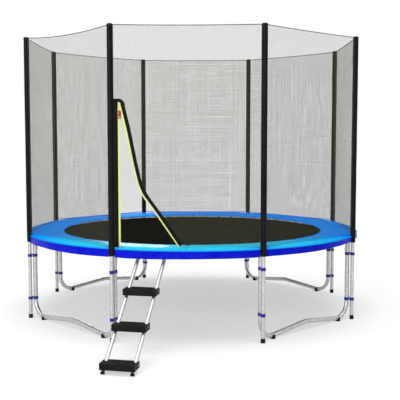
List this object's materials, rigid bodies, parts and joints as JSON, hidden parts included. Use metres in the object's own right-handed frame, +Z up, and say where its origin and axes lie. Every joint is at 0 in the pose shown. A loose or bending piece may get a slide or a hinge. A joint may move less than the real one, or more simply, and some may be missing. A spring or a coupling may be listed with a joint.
{
  "type": "garden trampoline",
  "caption": "Round garden trampoline with a steel ring frame and bent tube legs, sprung mat, padded edge, safety net on padded poles, zipped door and hook-on ladder.",
  "frame": {"origin": "on the ground, under the centre of the mat", "axes": "+Z up; the door and the ladder face -Y; +X to the right as seen from the door"},
  "size_m": [3.0972, 3.8886, 2.48],
  "materials": {
    "galvanised_steel": "smooth zinc-coated tube",
    "foam_sleeve": "black sleeve over closed-cell foam",
    "black_plastic": "moulded, slightly rough",
    "black_rubber": "moulded, matt",
    "blue_plastic": "moulded, satin",
    "zinc_fastener": "bright zinc",
    "mat_weave": "woven polypropylene",
    "mat_webbing": "flat woven webbing",
    "spring_steel": "bright zinc-plated spring wire",
    "pad_cover": "coated cloth over foam, soft sheen",
    "skirt_cover": "coated cloth, soft sheen",
    "net_mesh": "knitted netting",
    "net_cord": "twisted cord",
    "black_webbing": "flat woven webbing",
    "zip_tape": "zip tape with moulded teeth",
    "red_plastic": "moulded"
  },
  "bodies": {
    "frame": {"top_rail_1": "galvanised_steel", "top_rail_2": "galvanised_steel", "top_rail_3": "galvanised_steel", "top_rail_4": "galvanised_steel", "top_rail_5": "galvanised_steel", "top_rail_6": "galvanised_steel", "top_rail_7": "galvanised_steel", "top_rail_8": "galvanised_steel", "leg_base_1": "galvanised_steel", "leg_base_2": "galvanised_steel", "leg_base_3": "galvanised_steel", "leg_base_4": "galvanised_steel", "leg_uprights_1": "galvanised_steel", "leg_uprights_2": "galvanised_steel", "leg_uprights_3": "galvanised_steel", "leg_uprights_4": "galvanised_steel", "pole_lower_1": "galvanised_steel", "pole_lower_2": "galvanised_steel", "pole_lower_3": "galvanised_steel", "pole_lower_4": "galvanised_steel", "pole_lower_5": "galvanised_steel", "pole_lower_6": "galvanised_steel", "pole_lower_7": "galvanised_steel", "pole_lower_8": "galvanised_steel", "foam_sleeve_1": "foam_sleeve", "foam_sleeve_2": "foam_sleeve", "foam_sleeve_3": "foam_sleeve", "foam_sleeve_4": "foam_sleeve", "foam_sleeve_5": "foam_sleeve", "foam_sleeve_6": "foam_sleeve", "foam_sleeve_7": "foam_sleeve", "foam_sleeve_8": "foam_sleeve", "upper_poles": "galvanised_steel", "pole_caps": "black_plastic", "pole_feet": "black_plastic", "leg_feet": "black_rubber", "pole_clamps": "blue_plastic", "clamp_bolts": "zinc_fastener", "frame_screws": "zinc_fastener", "springs": "spring_steel", "pad": "pad_cover", "pad_skirt": "skirt_cover", "net_walls": "net_mesh", "net_door": "net_mesh", "net_cord": "net_cord", "net_hem": "black_webbing", "door_hem_fixed": "black_webbing", "door_hem_loose": "zip_tape"},
    "mat": {"mat": "mat_weave", "mat_band": "mat_webbing", "mat_rings": "zinc_fastener"},
    "ladder": {"ladder_rail_left": "galvanised_steel", "ladder_rail_right": "galvanised_steel", "step_1": "black_plastic", "step_2": "black_plastic", "step_3": "black_plastic", "ladder_feet": "black_rubber", "ladder_bolts": "zinc_fastener"},
    "zip": {"zip_slider": "red_plastic"}
  },
  "joints": [
    {"name": "mat_bounce", "type": "slide", "parent": "frame", "child": "mat", "axis": [0, 0, 1], "range_m": [-0.16, 0], "stiffness_N_per_m": 5000, "springref_m": 0.01, "deforming": ["springs"]},
    {"name": "ladder_swing", "type": "hinge", "parent": "frame", "child": "ladder", "pos_m": [-0.28626, -1.4727, 0.71], "axis": [-0.9816, 0.1908, 0], "range_deg": [0, 25]},
    {"name": "zip_slide", "type": "slide", "parent": "frame", "child": "zip", "axis": [0, 0, 1], "range_m": [-0.96, 0]}
  ]
}
